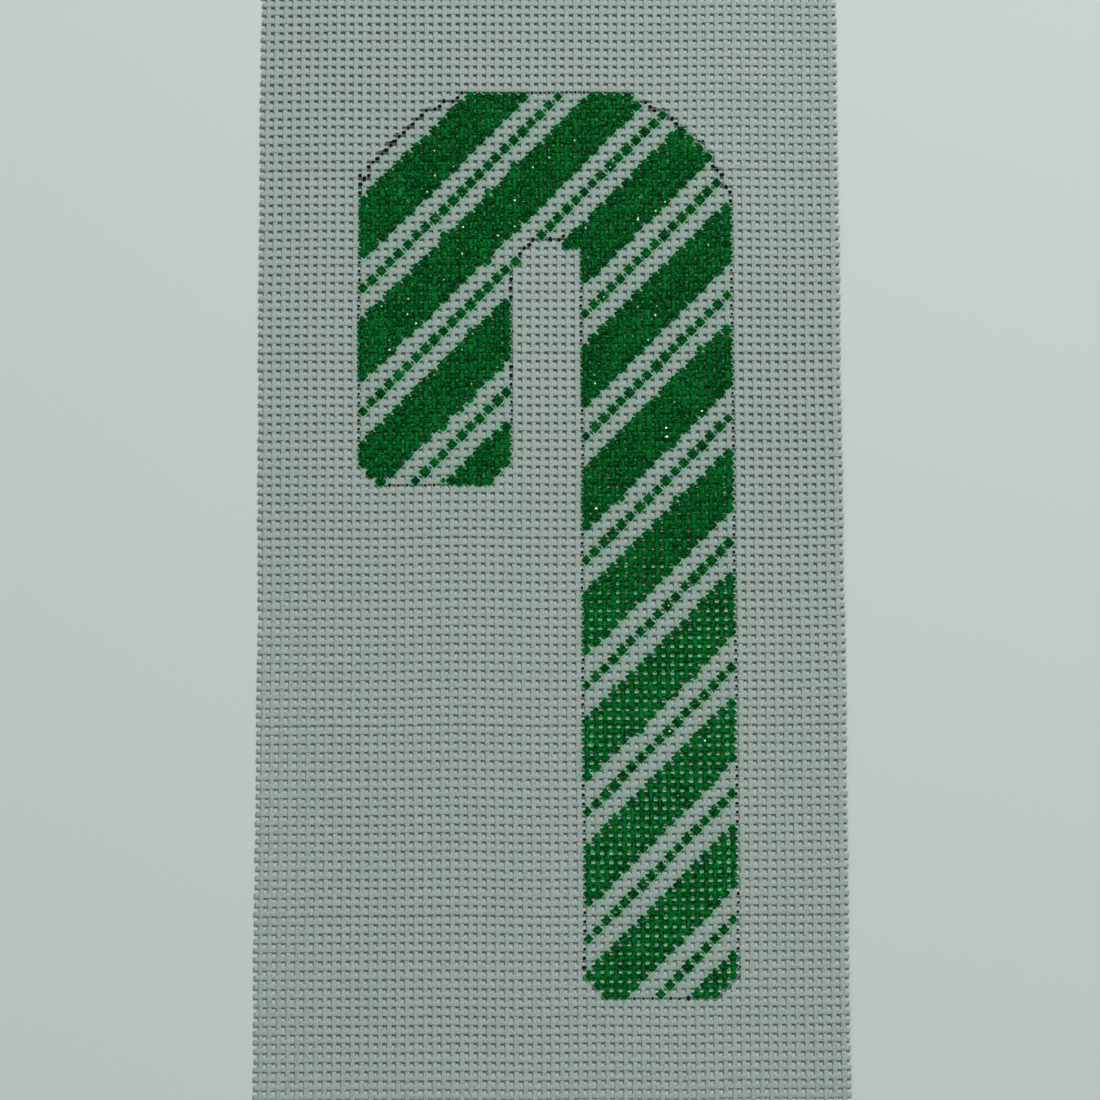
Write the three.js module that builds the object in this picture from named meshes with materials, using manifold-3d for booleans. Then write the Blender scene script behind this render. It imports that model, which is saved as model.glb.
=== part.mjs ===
// A rectangle of mono needlepoint canvas, hand painted with a candy cane in slanting stripes.
//
// Millimetres, +Z up. The canvas lies painted side up on Z = 0, the cane's crook is towards +Y, and
// the origin is the middle of the underside. The sheet is one solid, as thick as two crossed threads.
// Every cut thread end stands out of its edge, and the paint is a low relief on its face.
//
// Places on the canvas are counted in threads: line 0 is the gap before the first thread, and line n
// the gap after the nth, from the left edge for the warp and from the top edge for the weft.

import * as THREE from 'three';
import { mergeVertices } from 'three/addons/utils/BufferGeometryUtils.js';
import Module from 'manifold-3d';

// The canvas
const MESH_COUNT = 13; // threads to the inch
const PITCH = 25.4 / MESH_COUNT; // from the middle of one thread to the middle of the next
const WARP_THREADS = 65; // they run along Y, and are counted along X
const WEFT_THREADS = 126; // they run along X, and are counted down from the top edge
const WARP_WIDTH = 0.5 * PITCH;
const WEFT_WIDTH = 0.6 * PITCH;
const SHEET_THICKNESS = 0.9;
const END_REACH = 0.75 * PITCH; // of a cut end, from the middle of the last thread that it crosses
const EDGE_REACH = 0.3 * PITCH; // of the solid sheet, from there as well

// The cane, in threads
const CANE_LEFT_LINE = 11;
const CANE_TOP_LINE = 12;
const CANE_WIDTH = 42;
const CANE_HEIGHT = 102;
const LIMB_WIDTH = 17; // of the long leg and of the short arm
const ARM_HEIGHT = 45; // from the top of the crook to the arm's end
const CROOK_THICKNESS = 17; // from the top of the crook to the top of the gap under it
const CROOK_CHAMFER = 9.5; // at the crook's left shoulder
const CROOK_RADIUS = 11; // at its right shoulder
const END_CHAMFER = 2.3; // at the ends of the leg and the arm

// The stripes, in threads. They rise to the right by one thread for each thread.
const STRIPE_PERIOD = 14;
const STRIPE_START = -1.5; // where the first band starts, as a sum of the steps right and down
const BAND_WIDTH = 7;
const DOT_OFFSET = 10.5; // from a band's start to the line of dots beside it
const DOT_REACH = 0.58; // from the middle of a dot to its corners

// The paint
const PAINT_RELIEF = 0.12;
const PAINT_ROOT = 0.3; // how far its solids reach into the sheet that they are fused to
const ARC_STEPS = 12;

const CANVAS_COLOR = new THREE.Color(0.62, 0.66, 0.63);

const solids = await Module();
solids.setup();

/** X of a warp line, and Y of a weft line. */
const lineX = (line) => (line - WARP_THREADS / 2) * PITCH;
const lineY = (line) => (WEFT_THREADS / 2 - line) * PITCH;

/** The point that lies `right` threads right of and `down` threads under the cane's upper left corner. */
function canePoint(right, down) {
  return new THREE.Vector2(lineX(CANE_LEFT_LINE + right), lineY(CANE_TOP_LINE + down));
}

/** A closed solid from a closed geometry whose only shared data is its positions. */
function solidOf(geometry) {
  geometry.deleteAttribute('normal');
  geometry.deleteAttribute('uv');
  const merged = mergeVertices(geometry);
  const vertProperties = new Float32Array(merged.getAttribute('position').array);
  const triVerts = new Uint32Array(merged.getIndex().array);
  return new solids.Manifold(new solids.Mesh({ numProp: 3, vertProperties, triVerts }));
}

/** A flat plate with this outline, from one height to another. */
function plate(outline, bottom, top) {
  const geometry = new THREE.ExtrudeGeometry(new THREE.Shape(outline), {
    depth: top - bottom,
    bevelEnabled: false,
  });
  geometry.translate(0, 0, bottom);
  return solidOf(geometry);
}

/** The paint's plates run from inside the sheet to the top of the relief. */
function paintPlate(outline) {
  return plate(outline, SHEET_THICKNESS - PAINT_ROOT, SHEET_THICKNESS + PAINT_RELIEF);
}

/**
 * One side of the sheet's outline, seen as if it were the top edge: the thread ends stand up from
 * the sheet's edge, side by side, from left to right.
 */
function combEdge(threads, width, edge, tip) {
  const points = [];
  for (let i = 0; i < threads; i += 1) {
    const middle = (i + 0.5 - threads / 2) * PITCH;
    points.push(new THREE.Vector2(middle - width / 2, edge));
    points.push(new THREE.Vector2(middle - width / 2, tip));
    points.push(new THREE.Vector2(middle + width / 2, tip));
    points.push(new THREE.Vector2(middle + width / 2, edge));
  }
  return points;
}

/** The outline of the whole canvas, clockwise from its upper left corner, with every cut end. */
function canvasOutline() {
  const halfWidth = ((WARP_THREADS - 1) / 2) * PITCH;
  const halfHeight = ((WEFT_THREADS - 1) / 2) * PITCH;
  const along = combEdge(WARP_THREADS, WARP_WIDTH, halfHeight + EDGE_REACH, halfHeight + END_REACH);
  const down = combEdge(WEFT_THREADS, WEFT_WIDTH, halfWidth + EDGE_REACH, halfWidth + END_REACH);
  const outline = [];
  for (let side = 0; side < 4; side += 1) {
    const centre = new THREE.Vector2(0, 0);
    const edge = side % 2 === 0 ? along : down;
    edge.forEach((point) => outline.push(point.clone().rotateAround(centre, (-side * Math.PI) / 2)));
    const sheetX = halfWidth + EDGE_REACH;
    const sheetY = halfHeight + EDGE_REACH;
    const rightSide = side === 0 || side === 1;
    const topSide = side === 0 || side === 3;
    outline.push(new THREE.Vector2(rightSide ? sheetX : -sheetX, topSide ? sheetY : -sheetY));
  }
  return outline;
}

/** Points of a round corner about a middle given in threads, between two angles. */
function caneArc(right, down, radius, fromAngle, toAngle) {
  const points = [];
  for (let step = 0; step <= ARC_STEPS; step += 1) {
    const angle = fromAngle + ((toAngle - fromAngle) * step) / ARC_STEPS;
    points.push(canePoint(right + radius * Math.cos(angle), down - radius * Math.sin(angle)));
  }
  return points;
}

/** The cane's outline: a crook with a sloping left and a round right shoulder, an arm and a leg. */
function caneOutline() {
  const legLeft = CANE_WIDTH - LIMB_WIDTH;
  const gapRadius = (legLeft - LIMB_WIDTH) / 2;
  return [
    canePoint(0, CROOK_CHAMFER),
    canePoint(CROOK_CHAMFER, 0),
    ...caneArc(CANE_WIDTH - CROOK_RADIUS, CROOK_RADIUS, CROOK_RADIUS, Math.PI / 2, 0),
    canePoint(CANE_WIDTH, CANE_HEIGHT - END_CHAMFER),
    canePoint(CANE_WIDTH - END_CHAMFER, CANE_HEIGHT),
    canePoint(legLeft + END_CHAMFER, CANE_HEIGHT),
    canePoint(legLeft, CANE_HEIGHT - END_CHAMFER),
    ...caneArc(LIMB_WIDTH + gapRadius, CROOK_THICKNESS + gapRadius, gapRadius, 0, Math.PI),
    canePoint(LIMB_WIDTH, ARM_HEIGHT - END_CHAMFER),
    canePoint(LIMB_WIDTH - END_CHAMFER, ARM_HEIGHT),
    canePoint(END_CHAMFER, ARM_HEIGHT),
    canePoint(0, ARM_HEIGHT - END_CHAMFER),
  ];
}

/** Whether a point lies inside an outline: a ray to the right crosses it an odd number of times. */
function isInside(point, outline) {
  let inside = false;
  outline.forEach((end, i) => {
    const start = outline[(i + outline.length - 1) % outline.length];
    const spans = start.y > point.y !== end.y > point.y;
    const crossing = start.x + ((point.y - start.y) / (end.y - start.y)) * (end.x - start.x);
    if (spans && crossing > point.x) {
      inside = !inside;
    }
  });
  return inside;
}

/** One slanting band, where the steps right and down add up to between `start` and its end. */
function bandOutline(start) {
  const end = start + BAND_WIDTH;
  const beyond = CANE_WIDTH + 1;
  return [
    canePoint(-1, start + 1),
    canePoint(beyond, start - beyond),
    canePoint(beyond, end - beyond),
    canePoint(-1, end + 1),
  ];
}

/** One painted crossing: a square on its corner round the crossing's middle. */
function dotOutline(right, down) {
  return [
    canePoint(right - DOT_REACH, down),
    canePoint(right, down - DOT_REACH),
    canePoint(right + DOT_REACH, down),
    canePoint(right, down + DOT_REACH),
  ];
}

/** The crossings that carry a dot: in the cane, on the thread diagonals between two bands. */
function dotPlates(cane) {
  const dots = [];
  for (let column = 0; column < CANE_WIDTH; column += 1) {
    for (let row = 0; row < CANE_HEIGHT; row += 1) {
      const right = column + 0.5;
      const down = row + 0.5;
      const afterStart = right + down - STRIPE_START;
      const onDiagonal = afterStart % STRIPE_PERIOD === DOT_OFFSET;
      if (onDiagonal && isInside(canePoint(right, down), cane)) {
        dots.push(paintPlate(dotOutline(right, down)));
      }
    }
  }
  return dots;
}

/** All the bands that cross the cane, cut to its outline. */
function bandPlates(cane) {
  const canePlate = paintPlate(cane);
  const bands = [];
  const lastStart = CANE_WIDTH + CANE_HEIGHT;
  for (let start = STRIPE_START; start < lastStart; start += STRIPE_PERIOD) {
    bands.push(paintPlate(bandOutline(start)).intersect(canePlate));
  }
  return bands.filter((band) => !band.isEmpty());
}

/** The sheet with its thread ends, and the paint fused to its face. */
function paintedCanvas() {
  const cane = caneOutline();
  let whole = plate(canvasOutline(), 0, SHEET_THICKNESS);
  [...bandPlates(cane), ...dotPlates(cane)].forEach((paint) => {
    whole = whole.add(paint);
  });
  return whole;
}

/** A three.js geometry with the vertices and triangles of a solid. */
function geometryOf(solid) {
  const { vertProperties, triVerts } = solid.getMesh();
  const geometry = new THREE.BufferGeometry();
  geometry.setAttribute('position', new THREE.BufferAttribute(vertProperties, 3));
  geometry.setIndex(new THREE.BufferAttribute(triVerts, 1));
  geometry.computeVertexNormals();
  return geometry;
}

const canvas = new THREE.Mesh(
  geometryOf(paintedCanvas()),
  new THREE.MeshStandardMaterial({ color: CANVAS_COLOR, roughness: 0.9, metalness: 0 }),
);
canvas.name = 'canvas';

const part = new THREE.Group();
part.add(canvas);

export default part;
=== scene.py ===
"""A rectangle of needlepoint canvas with a painted candy cane, woven thread by thread.

The canvas is mono canvas: single stiffened cotton threads in plain weave, with open square gaps
between them. Each thread is a closed tube that rises over one crossing thread and dips under the
next. The cane is painted on the threads themselves, crossing by crossing, and outlined with a pen
that marks only the threads that it meets. Skins of dried paint close many of the gaps in the bands,
and bright flecks of glitter are caught in the paint.

Places on the canvas are counted in threads. Gap line 0 lies before the first thread and gap line n
after the nth, from the left edge for the warp, which runs along Y, and from the top edge for the
weft, which runs along X. Everything else is in metres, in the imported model's frame.
"""

import logging
import math
from dataclasses import dataclass, field
from enum import Enum

import bpy
import numpy as np
from mathutils import Matrix, Vector


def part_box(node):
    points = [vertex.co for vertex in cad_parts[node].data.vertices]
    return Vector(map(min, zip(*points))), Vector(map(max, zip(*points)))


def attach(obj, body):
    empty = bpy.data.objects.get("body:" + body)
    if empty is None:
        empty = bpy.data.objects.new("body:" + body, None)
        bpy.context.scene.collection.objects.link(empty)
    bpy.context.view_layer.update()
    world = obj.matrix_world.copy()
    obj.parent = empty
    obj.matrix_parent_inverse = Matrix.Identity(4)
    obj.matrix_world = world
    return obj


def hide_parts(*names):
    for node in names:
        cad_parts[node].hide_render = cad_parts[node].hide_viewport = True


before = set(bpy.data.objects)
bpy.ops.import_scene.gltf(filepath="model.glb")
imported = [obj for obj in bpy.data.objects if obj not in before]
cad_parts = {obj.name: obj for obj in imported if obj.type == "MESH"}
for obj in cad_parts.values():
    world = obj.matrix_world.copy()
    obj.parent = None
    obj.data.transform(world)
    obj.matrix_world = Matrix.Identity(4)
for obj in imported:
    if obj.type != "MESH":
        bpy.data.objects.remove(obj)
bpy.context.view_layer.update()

LOG = logging.getLogger("needlepoint")
CANVAS_NODE = "canvas"
BODY = "root"
MM = 0.001
TURN = 2.0 * math.pi
BARE_MARGIN = 2  # how many bare crossings are kept all round the cane
LEAST_SPOT = 0.2  # radius of the smallest touch of paint that leaves a mark, in threads
NO_SPOT = -9.0  # the radius that stands for no paint
PEN_FAR = 4.0  # the distance to the pen line past which it isn't told apart, in threads
FACE_CORNERS = ((0, 0), (0, 1), (1, 1), (1, 0))  # how far each corner of a face is on, as ring and side

Color = tuple[float, float, float, float]


def smooth_step(value: np.ndarray, low: float, high: float) -> np.ndarray:
    """Rises from 0 at `low` to 1 at `high` along 3t^2 - 2t^3, where t is the way between them.

    Args:
        value: Any array.
        low: Where the rise starts.
        high: Where it ends. It may be below `low`, and the curve then falls.

    Returns:
        An array of the same shape, from 0 to 1.
    """
    t = np.clip((value - low) / (high - low), 0.0, 1.0)
    return t * t * (3.0 - 2.0 * t)


# ---------------------------------------------------------------------------------------------
# The thread grid
# ---------------------------------------------------------------------------------------------


class Direction(Enum):
    """The two sets of threads."""

    WARP = "warp"
    WEFT = "weft"


@dataclass(frozen=True)
class ThreadGrid:
    """Where the canvas's threads lie when it is drawn perfectly even.

    Attributes:
        pitch: The distance from the middle of one thread to the middle of the next.
        warp_threads: How many threads run along Y.
        weft_threads: How many threads run along X.
        end_reach: How far a cut end passes the middle of the last thread it crosses, in pitches.
    """

    pitch: float
    warp_threads: int = 65
    weft_threads: int = 126
    end_reach: float = 0.75

    @classmethod
    def from_cad(cls) -> "ThreadGrid":
        """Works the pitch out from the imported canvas's width.

        Returns:
            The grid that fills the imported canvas's box.
        """
        low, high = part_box(CANVAS_NODE)
        return cls(pitch=(high.x - low.x) / (cls.warp_threads - 1 + 2.0 * cls.end_reach))

    def x(self, line: np.ndarray) -> np.ndarray:
        """X of a place counted in warp threads from the left edge."""
        return (line - self.warp_threads / 2.0) * self.pitch

    def y(self, line: np.ndarray) -> np.ndarray:
        """Y of a place counted in weft threads from the top edge."""
        return (self.weft_threads / 2.0 - line) * self.pitch

    def ends(self, direction: Direction) -> tuple[float, float]:
        """Where the threads of one direction start and stop, counted in the threads they cross."""
        crossed = self.weft_threads if direction is Direction.WARP else self.warp_threads
        return 0.5 - self.end_reach, crossed - 0.5 + self.end_reach


@dataclass
class Unevenness:
    """How the real canvas departs from the even grid: uneven spacing, slow drift and a slight lift.

    Attributes:
        grid: The even grid.
        seed: Of all the random draws.
        spacing: Spread of one thread's place among its neighbours, in pitches.
        spacing_limit: The most that a thread may be out of place, in such spreads.
        drift: Height of the highest slow in-plane wave, in pitches.
        least_drift: Height of the lowest one, as a share of that.
        waves: How many slow waves are added up.
        wave_length: The shortest and the longest of them, in threads.
        rest_lift: How far the lower part stands off the surface, on average.
        ripple: How much that varies, as a share.
        ripple_turns: How many times it rises and falls across the canvas and along it.
        ripple_start: How far on in its turn it is at the left edge.
        upper_lift: How much further the upper part does, apart from its right corner.
        upper_rows: Where the step up to it starts and ends, as shares of the canvas's length.
        corner_side: Where that corner starts and is full, as shares of the width.
        corner_rows: The same, as shares of the length.
        settled: How much closer the lower left edge lies, as a share.
        settled_side: Where that edge starts and is full, as shares of the width.
        settled_rows: The same, as shares of the length.
        edge_reach: How far from the bottom edge the canvas has risen, in threads.
    """

    grid: ThreadGrid
    seed: int = 13
    spacing: float = 0.018
    spacing_limit: float = 2.2
    drift: float = 0.035
    least_drift: float = 0.4
    waves: int = 6
    wave_length: tuple[float, float] = (9.0, 60.0)
    rest_lift: float = 0.27 * MM
    ripple: float = 0.12
    ripple_turns: tuple[float, float] = (0.8, 1.1)
    ripple_start: float = 0.1
    upper_lift: float = 0.11 * MM
    upper_rows: tuple[float, float] = (0.7, 0.35)
    corner_side: tuple[float, float] = (0.6, 0.9)
    corner_rows: tuple[float, float] = (0.34, 0.1)
    settled: float = 0.5
    settled_side: tuple[float, float] = (0.15, 0.0)
    settled_rows: tuple[float, float] = (0.45, 0.7)
    edge_reach: float = 4.0

    def __post_init__(self) -> None:
        """Draws each thread's own shift and the slow waves."""
        rng = np.random.default_rng(self.seed)
        limit = self.spacing_limit * self.spacing
        self._warp_shift = np.clip(rng.normal(0, self.spacing, self.grid.warp_threads), -limit, limit)
        self._weft_shift = np.clip(rng.normal(0, self.spacing, self.grid.weft_threads), -limit, limit)
        lengths = rng.uniform(*self.wave_length, (2, self.waves))
        angles = rng.uniform(0.0, TURN, (2, self.waves))
        self._wave_right = TURN / lengths * np.cos(angles)
        self._wave_down = TURN / lengths * np.sin(angles)
        self._phase = rng.uniform(0.0, TURN, (2, self.waves))
        self._height = rng.uniform(self.least_drift, 1.0, (2, self.waves)) * self.drift

    def _drift_of(self, axis: int, right: np.ndarray, down: np.ndarray) -> np.ndarray:
        """The sum of slow sine waves that run across the canvas in different directions.

        Args:
            axis: 0 for the drift to the right, 1 for the drift down.
            right: Places counted in warp threads.
            down: Places counted in weft threads.

        Returns:
            Drifts in pitches.
        """
        total = np.zeros(np.broadcast(right, down).shape)
        for wave in range(self.waves):
            turn = self._wave_right[axis, wave] * right + self._wave_down[axis, wave] * down
            total += self._height[axis, wave] * np.sin(turn + self._phase[axis, wave])
        return total

    def place(self, right: np.ndarray, down: np.ndarray) -> tuple[np.ndarray, np.ndarray]:
        """Moves places of the even grid to where they lie on the real canvas.

        The shift is the thread's own shift, read between thread middles on a straight line, plus
        the slow waves. Both thread sets follow the same shift, so crossings stay crossings.

        Args:
            right: Places counted in warp threads.
            down: Places counted in weft threads.

        Returns:
            Their X and Y.
        """
        own_right = np.interp(right, np.arange(self.grid.warp_threads) + 0.5, self._warp_shift)
        own_down = np.interp(down, np.arange(self.grid.weft_threads) + 0.5, self._weft_shift)
        x = self.grid.x(right + own_right + self._drift_of(0, right, down))
        y = self.grid.y(down + own_down + self._drift_of(1, right, down))
        return x, y

    def lift(self, right: np.ndarray, down: np.ndarray) -> np.ndarray:
        """How far the canvas's underside stands off the surface.

        The rest lift times a slow ripple, which is 1 plus a sine across times a cosine along, plus
        a smooth step up to the upper part. That step is multiplied by 1 less the product of two
        smooth steps towards the upper right corner. The sum is multiplied by a smooth step up
        from the bottom edge, and by less than 1 along the lower left edge.

        Args:
            right: Places counted in warp threads.
            down: Places counted in weft threads.

        Returns:
            Heights in metres.
        """
        threads, rows = self.grid.warp_threads, self.grid.weft_threads
        across, along = right / threads, down / rows
        edge = smooth_step(rows - down, 0.0, self.edge_reach)
        settled = smooth_step(across, *self.settled_side) * smooth_step(along, *self.settled_rows)
        edge = edge * (1.0 - self.settled * settled)
        turns_across, turns_along = self.ripple_turns
        wave = np.sin(TURN * (turns_across * across + self.ripple_start))
        ripple = 1.0 + self.ripple * wave * np.cos(TURN * turns_along * along)
        upper = smooth_step(along, *self.upper_rows)
        corner = smooth_step(across, *self.corner_side) * smooth_step(along, *self.corner_rows)
        return edge * (self.rest_lift * ripple + self.upper_lift * upper * (1.0 - corner))


# ---------------------------------------------------------------------------------------------
# The painted cane
# ---------------------------------------------------------------------------------------------


@dataclass(frozen=True)
class Stripes:
    """The pattern inside the cane. It rises to the right by one thread for each thread.

    Attributes:
        period: Threads from one band to the next, across or down.
        band: Width of a solid band.
        dots: How many threads after a band's first thread the line of single dots runs.
        phase: The step at the cane's upper left corner, counted from a band's first thread.
    """

    period: int = 14
    band: int = 7
    dots: int = 10
    phase: int = 2

    def step(self, column: np.ndarray, row: np.ndarray) -> np.ndarray:
        """The thread's place in the period, from 0 at a band's first thread."""
        return (column + row + self.phase) % self.period


@dataclass(frozen=True)
class CaneShape:
    """The cane's outline, in threads right of and down from its upper left corner.

    The pen runs along the gaps between the threads, so every slope is a flight of steps.

    Attributes:
        left_line: The gap line that its left side lies on.
        top_line: The gap line that its top lies on.
        width: Of the whole cane.
        height: Of the whole cane.
        limb: Width of the long leg and of the short arm.
        arm: From the top of the crook to the end of the arm.
        crook: From the top of the crook to the top of the gap under it.
        cut: How many steps the corners at the ends of the leg and the arm are cut off by.
    """

    left_line: int = 11
    top_line: int = 12
    width: int = 42
    height: int = 102
    limb: int = 17
    arm: int = 45
    crook: int = 17
    cut: int = 2

    @staticmethod
    def _steps(start: tuple[int, int], count: int, first: tuple[int, int], then: tuple[int, int]) -> list:
        """The corners of a flight of steps, without its starting point.

        Args:
            start: Where the flight starts, as threads right and down.
            count: How many steps it has.
            first: The first half of a step, as threads right and down.
            then: The other half.

        Returns:
            Two corners to a step.
        """
        corners = []
        right, down = start
        for _ in range(count):
            for half in (first, then):
                right, down = right + half[0], down + half[1]
                corners.append((right, down))
        return corners

    def outline(self) -> np.ndarray:
        """The corners of the pen line, clockwise from the left shoulder.

        Returns:
            An array of corners, one to a row.
        """
        left, top, right, bottom = (-1, 0), (0, -1), (1, 0), (0, 1)
        width, height, cut = self.width, self.height, self.cut
        leg, limb, crook, arm = width - self.limb, self.limb, self.crook, self.arm
        # The left shoulder starts with a spur and gets flatter towards the top
        corners = [(0, 9), (0, 10), (1, 10), (1, 8), (2, 8)]
        corners += self._steps((2, 8), 5, top, right)
        corners += [(7, 2), (9, 2), (9, 1), (11, 1), (11, 0)]
        # The right shoulder is steeper at its foot
        corners += [(width - 11, 0), (width - 11, 1), (width - 9, 1), (width - 9, 2), (width - 7, 2)]
        corners += self._steps((width - 7, 2), 5, bottom, right)
        corners += [(width - 2, 9), (width - 1, 9), (width - 1, 11), (width, 11)]
        # The end of the leg
        corners += [(width, height - cut)] + self._steps((width, height - cut), cut, left, bottom)
        corners += [(leg + cut, height)] + self._steps((leg + cut, height), cut, top, left)
        # The top of the gap under the crook, with a spur
        corners += [(leg, crook + 1), (leg - 2, crook + 1), (leg - 2, crook - 1), (leg - 2, crook)]
        corners += [(limb + 2, crook), (limb + 2, crook + 1), (limb + 1, crook + 1)]
        corners += [(limb + 1, crook + 3), (limb, crook + 3)]
        # The end of the arm
        corners += [(limb, arm - cut)] + self._steps((limb, arm - cut), cut, left, bottom)
        corners += [(cut, arm)] + self._steps((cut, arm), cut, top, left)
        return np.array(corners, float)


@dataclass
class PaintedCane:
    """Where the paint and the pen line lie.

    Every painted crossing is one touch of the brush: a spot a little wider than the thread
    spacing, so that neighbouring spots run together and a band's edges are stepped.

    Attributes:
        shape: The cane's outline.
        stripes: The pattern in it.
        touch: Radius of a spot in a band, in threads.
        touch_spread: How much that radius varies.
        dry_touch: How much smaller it is where the paint is thin, in threads.
        dot: Radius of a single dot, in threads.
        dot_spread: How much that radius varies.
        heavy_rows: The weft threads between which thick paint gives way to thin, from the top.
        roundness: The power in a spot's outline: 2 for a circle, 1 for a square on its corner.
        dot_roundness: The same for a single dot. Below 1 it is a star with four points, because
            the paint runs along the two threads and leaves the gaps between them open.
        tallness: A spot's height over its width.
        tallness_spread: How much that varies.
        rim: Radius of a spot beside the cane's outline, in threads.
        rim_reach: How far from the outline a spot's crossing may be for that, in threads.
        overrun: How far the paint may pass the outline, in threads.
        miss: How far a spot's middle strays from its place, in threads.
        brush_shift: That place, right of and below the crossing's middle, in threads.
        slip_chance: How often the crossing next to a band takes some paint too.
        slip: The least radius of such a slip, in threads.
        slip_spread: How much larger it may be.
        pen_shift: How far the pen runs right of and below the gap lines, in threads.
        pen_wobble: How far each of its slow waves takes it from them, in threads.
        pen_waves: Those waves' turns, in radians to a thread right and down, and their phases.
        pen_press: How much wider its marks are where the hand pressed.
        pressed: Those places, as threads right of and below the cane's upper left corner, and how
            far from each one the marks are back to their plain width.
        full_press: The inner share of that way in which the marks are widest.
        seed: Of the hand's small slips.
    """

    shape: CaneShape = field(default_factory=CaneShape)
    stripes: Stripes = field(default_factory=Stripes)
    touch: float = 0.84
    touch_spread: float = 0.07
    dry_touch: float = 0.08
    dot: float = 0.85
    dot_spread: float = 0.07
    heavy_rows: tuple[float, float] = (50.0, 78.0)
    roundness: float = 1.08
    dot_roundness: float = 0.78
    tallness: float = 1.04
    tallness_spread: float = 0.12
    rim: float = 0.74
    rim_reach: float = 0.6
    overrun: float = 0.2
    miss: float = 0.04
    brush_shift: tuple[float, float] = (-0.06, -0.1)
    slip_chance: float = 0.05
    slip: float = 0.36
    slip_spread: float = 0.2
    pen_shift: tuple[float, float] = (0.01, -0.13)
    pen_wobble: float = 0.025
    pen_waves: tuple[tuple[float, float, float], ...] = (
        (0.0, 0.61, 1.0),
        (0.53, 1.37, 2.0),
        (0.83, 0.0, 4.0),
    )
    pen_press: float = 1.7
    pressed: tuple[tuple[float, float, float], ...] = (
        (4.5, 5.0, 10.5),
        (37.5, 5.0, 10.5),
        (20.0, 18.0, 6.0),
        (17.0, 26.0, 9.0),
        (26.0, 101.0, 4.0),
        (40.0, 101.0, 5.0),
    )
    full_press: float = 0.7
    seed: int = 29

    def __post_init__(self) -> None:
        """Draws each crossing's spot, with a margin of bare crossings all round."""
        columns = np.arange(-BARE_MARGIN, self.shape.width + BARE_MARGIN)
        rows = np.arange(-BARE_MARGIN, self.shape.height + BARE_MARGIN)
        column, row = np.meshgrid(columns, rows, indexing="ij")
        rng = np.random.default_rng(self.seed)
        step = self.stripes.step(column, row)
        radius = self._radii(step, rng)
        in_band = (radius > 0.0) & (step != self.stripes.dots)
        radius -= self.dry_touch * in_band * (1.0 - self.heaviness(row + self.shape.top_line))
        self._roundness = np.where(step == self.stripes.dots, self.dot_roundness, self.roundness)
        outline = self.distance(column + 0.5, row + 0.5)
        smaller = np.minimum(radius, radius - self.touch + self.rim)
        radius = np.where(outline > -self.rim_reach, smaller, radius)
        self._radius = np.where((radius < LEAST_SPOT) | (outline > 0.0), NO_SPOT, radius)
        self._tallness = self.tallness + self.tallness_spread * rng.uniform(-1.0, 1.0, column.shape)
        self._middle = rng.normal(0.0, self.miss, (2,) + column.shape)
        self._middle += 0.5 + np.array(self.brush_shift)[:, None, None]

    def _radii(self, step: np.ndarray, rng: np.random.Generator) -> np.ndarray:
        """The radius of the spot that the pattern puts on each crossing, with the hand's slips.

        Args:
            step: The crossings' places in the stripes' period.
            rng: Where the slips are drawn from.

        Returns:
            Radii in threads, 0 where there is no paint.
        """
        chance, strength = rng.random(step.shape), rng.random(step.shape)
        change = 2.0 * strength - 1.0
        radius = np.where(step < self.stripes.band, self.touch + self.touch_spread * change, 0.0)
        beside = (step == self.stripes.period - 1) | (step == self.stripes.band)
        slipped = beside & (chance < self.slip_chance)
        radius = np.where(slipped, self.slip + self.slip_spread * strength, radius)
        return np.where(step == self.stripes.dots, self.dot + self.dot_spread * change, radius)

    def heaviness(self, down: np.ndarray) -> np.ndarray:
        """How freely the bands were painted: 1 on the crook, and a smooth step to 0 low on the leg.

        Args:
            down: Threads below the canvas's top edge line.

        Returns:
            Shares from 0 to 1.
        """
        return smooth_step(down, self.heavy_rows[1], self.heavy_rows[0])

    def paint_thickness(self, right: np.ndarray, down: np.ndarray) -> np.ndarray:
        """How thickly the paint lies: 1 on every single dot, and as the bands go elsewhere.

        Args:
            right: Threads right of the canvas's left edge line.
            down: Threads below its top edge line.

        Returns:
            Shares from 0 to 1.
        """
        column = np.floor(right - self.shape.left_line)
        row = np.floor(down - self.shape.top_line)
        single = self.stripes.step(column, row) == self.stripes.dots
        return np.maximum(single, self.heaviness(down))

    def distance(self, right: np.ndarray, down: np.ndarray) -> np.ndarray:
        """The distance from each point to the outline, negative inside the cane.

        For each side of the outline it is the distance to the nearest point of that side, and the
        smallest of these is kept. A point is inside if a ray to the right of it crosses the
        outline an odd number of times.

        Args:
            right: Threads right of the cane's left side.
            down: Threads below its top.

        Returns:
            Distances in threads.
        """
        nearest = np.full(np.shape(right), np.inf)
        inside = np.zeros(np.shape(right), bool)
        corners = self.shape.outline()
        for start, end in zip(corners, np.roll(corners, -1, axis=0)):
            side = end - start
            along = ((right - start[0]) * side[0] + (down - start[1]) * side[1]) / (side @ side)
            along = np.clip(along, 0.0, 1.0)
            away = np.hypot(right - start[0] - along * side[0], down - start[1] - along * side[1])
            nearest = np.minimum(nearest, away)
            if side[1] != 0.0:
                spans = (start[1] > down) != (end[1] > down)
                crossing = start[0] + (down - start[1]) / side[1] * side[0]
                inside ^= spans & (crossing > right)
        return np.where(inside, -nearest, nearest)

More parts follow.
